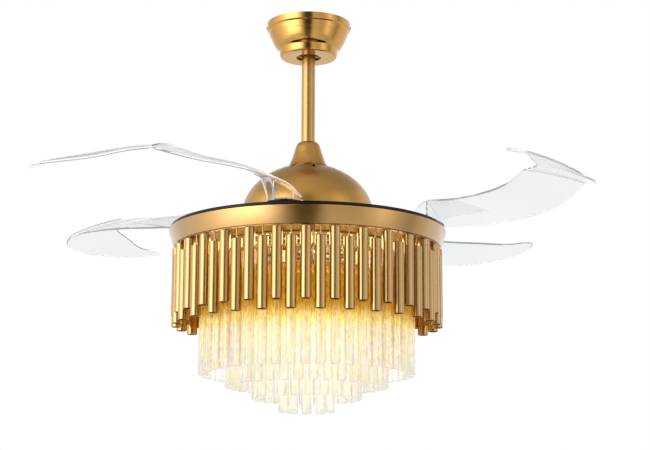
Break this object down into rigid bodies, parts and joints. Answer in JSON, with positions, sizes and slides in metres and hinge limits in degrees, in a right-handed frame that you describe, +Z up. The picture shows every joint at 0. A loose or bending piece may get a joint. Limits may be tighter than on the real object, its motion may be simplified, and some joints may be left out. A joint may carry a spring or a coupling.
{
  "type": "chandelier ceiling fan",
  "caption": "Gold ceiling fan with folding clear blades over a round chandelier of hanging gold tubes and tiered crystal rods.",
  "frame": {"origin": "middle of the hanger plate's face against the ceiling, on the fan's axis", "axes": "+Z up along the downrod, -Y towards the viewer of the picture, +X to the viewer's right"},
  "size_m": [0.953, 0.953, 0.7168],
  "materials": {
    "hanger_steel": "zinc-plated steel",
    "polished_gold": "gold-plated, polished",
    "brushed_gold": "gold-plated, brushed",
    "anodised_gold": "gold-anodised, brushed",
    "nylon": "white moulded",
    "rubber": "white rubber",
    "iron": "laminated iron",
    "copper": "enamelled copper wire",
    "lamp_board": "white aluminium lamp board",
    "crystal": "clear fluted crystal",
    "ferrite": "dark ferrite",
    "black_gloss": "gloss black",
    "clear_plastic": "clear blade plastic"
  },
  "bodies": {
    "hanger": {"hanger_bracket": "hanger_steel", "canopy": "polished_gold", "canopy_screw_1": "polished_gold", "canopy_screw_2": "polished_gold", "receiver_box": "nylon", "terminal_block": "nylon"},
    "liner": {"ball_liner": "rubber"},
    "fan": {"hanger_ball": "rubber", "ball_pin": "hanger_steel", "yoke": "hanger_steel", "yoke_bolt": "hanger_steel", "motor_shaft": "hanger_steel", "motor_bearing_1": "hanger_steel", "motor_bearing_2": "hanger_steel", "dome_screw_1": "hanger_steel", "dome_screw_2": "hanger_steel", "plate_screw_1": "hanger_steel", "plate_screw_2": "hanger_steel", "lamp_nut_1": "hanger_steel", "lamp_nut_2": "hanger_steel", "downrod": "brushed_gold", "coupling_cover": "brushed_gold", "motor_dome": "brushed_gold", "trim_band": "brushed_gold", "lamp_plate": "anodised_gold", "tube_skirt": "anodised_gold", "stator_core": "iron", "stator_winding": "copper", "led_driver_1": "nylon", "led_driver_2": "nylon", "led_board": "lamp_board", "crystal_tier_1": "crystal", "crystal_tier_2": "crystal", "crystal_tier_3": "crystal", "crystal_tier_4": "crystal"},
    "rotor": {"rotor_lower_shell": "hanger_steel", "rotor_upper_shell": "hanger_steel", "rotor_screw_1": "hanger_steel", "rotor_screw_2": "hanger_steel", "rotor_magnets": "ferrite", "carrier_disc": "black_gloss"},
    "ring": {"sync_ring": "nylon"},
    "blade_arm_1": {"blade_1": "clear_plastic", "blade_hub_1": "black_gloss", "blade_pinion_1": "nylon", "blade_screw_1": "hanger_steel"},
    "blade_arm_2": {"blade_2": "clear_plastic", "blade_hub_2": "black_gloss", "blade_pinion_2": "nylon", "blade_screw_2": "hanger_steel"},
    "blade_arm_3": {"blade_3": "clear_plastic", "blade_hub_3": "black_gloss", "blade_pinion_3": "nylon", "blade_screw_3": "hanger_steel"},
    "blade_arm_4": {"blade_4": "clear_plastic", "blade_hub_4": "black_gloss", "blade_pinion_4": "nylon", "blade_screw_4": "hanger_steel"}
  },
  "joints": [
    {"name": "hanger_tilt_x", "type": "hinge", "parent": "hanger", "child": "liner", "pos_m": [0, 0, -0.031], "axis": [1, 0, 0], "range_deg": [-10, 10]},
    {"name": "hanger_tilt_y", "type": "hinge", "parent": "liner", "child": "fan", "pos_m": [0, 0, -0.031], "axis": [0, 1, 0], "range_deg": [-10, 10]},
    {"name": "rotor_spin", "type": "hinge", "parent": "fan", "child": "rotor", "pos_m": [0, 0, -0.394], "axis": [0, 0, 1], "continuous": true},
    {"name": "blade_fold_1", "type": "hinge", "parent": "rotor", "child": "blade_arm_1", "pos_m": [0.21087, -0.03529, -0.3885], "axis": [0, 0, 1], "range_deg": [-105, 0]},
    {"name": "blade_fold_2", "type": "hinge", "parent": "rotor", "child": "blade_arm_2", "pos_m": [0.03529, 0.21087, -0.3885], "axis": [0, 0, 1], "range_deg": [-105, 0]},
    {"name": "blade_fold_3", "type": "hinge", "parent": "rotor", "child": "blade_arm_3", "pos_m": [-0.21087, 0.03529, -0.3885], "axis": [0, 0, 1], "range_deg": [-105, 0]},
    {"name": "blade_fold_4", "type": "hinge", "parent": "rotor", "child": "blade_arm_4", "pos_m": [-0.03529, -0.21087, -0.3885], "axis": [0, 0, 1], "range_deg": [-105, 0]},
    {"name": "sync_ring_turn", "type": "hinge", "parent": "rotor", "child": "ring", "pos_m": [0, 0, -0.3993], "axis": [0, 0, 1], "range_deg": [-0.5, 13.5]}
  ],
  "couplings": [
    {"joint": "blade_fold_2", "follows": "blade_fold_1", "ratio": 1},
    {"joint": "blade_fold_3", "follows": "blade_fold_1", "ratio": 1},
    {"joint": "blade_fold_4", "follows": "blade_fold_1", "ratio": 1},
    {"joint": "sync_ring_turn", "follows": "blade_fold_1", "ratio": -0.125}
  ]
}
